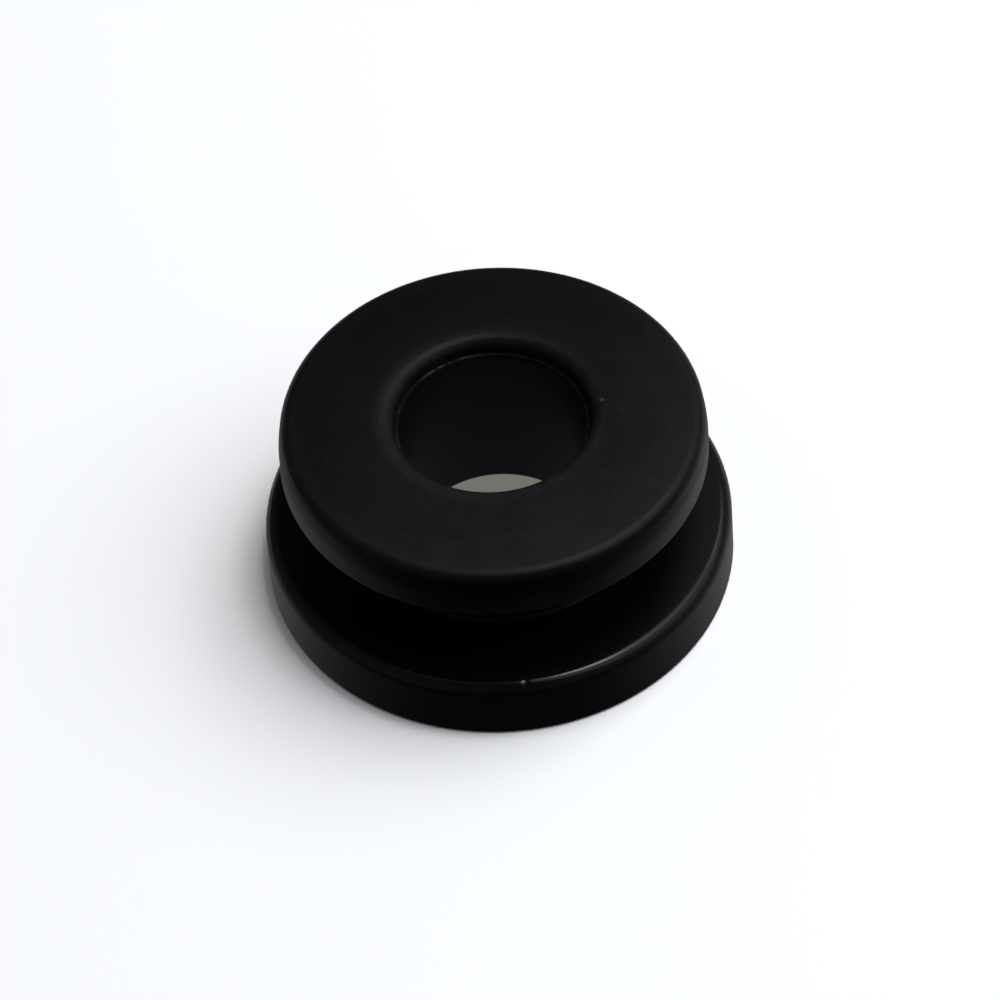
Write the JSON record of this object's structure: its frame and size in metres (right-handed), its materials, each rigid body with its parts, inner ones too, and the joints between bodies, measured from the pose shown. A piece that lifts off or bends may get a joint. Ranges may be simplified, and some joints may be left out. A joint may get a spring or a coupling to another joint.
{
  "type": "rubber bushing",
  "caption": "Black moulded rubber bush: a wide base flange and a smaller head with a panel groove between them, and a through bore.",
  "frame": {"origin": "centre of the flat base face, on the bore's axis", "axes": "+Z along the bore from the wide base flange to the head; the mould's parting line lies in the YZ plane"},
  "size_m": [0.0284, 0.0284, 0.012],
  "materials": {
    "black_rubber": "plain moulded black rubber, satin, lightly dusted"
  },
  "bodies": {
    "root": {"bushing": "black_rubber"}
  },
  "joints": []
}
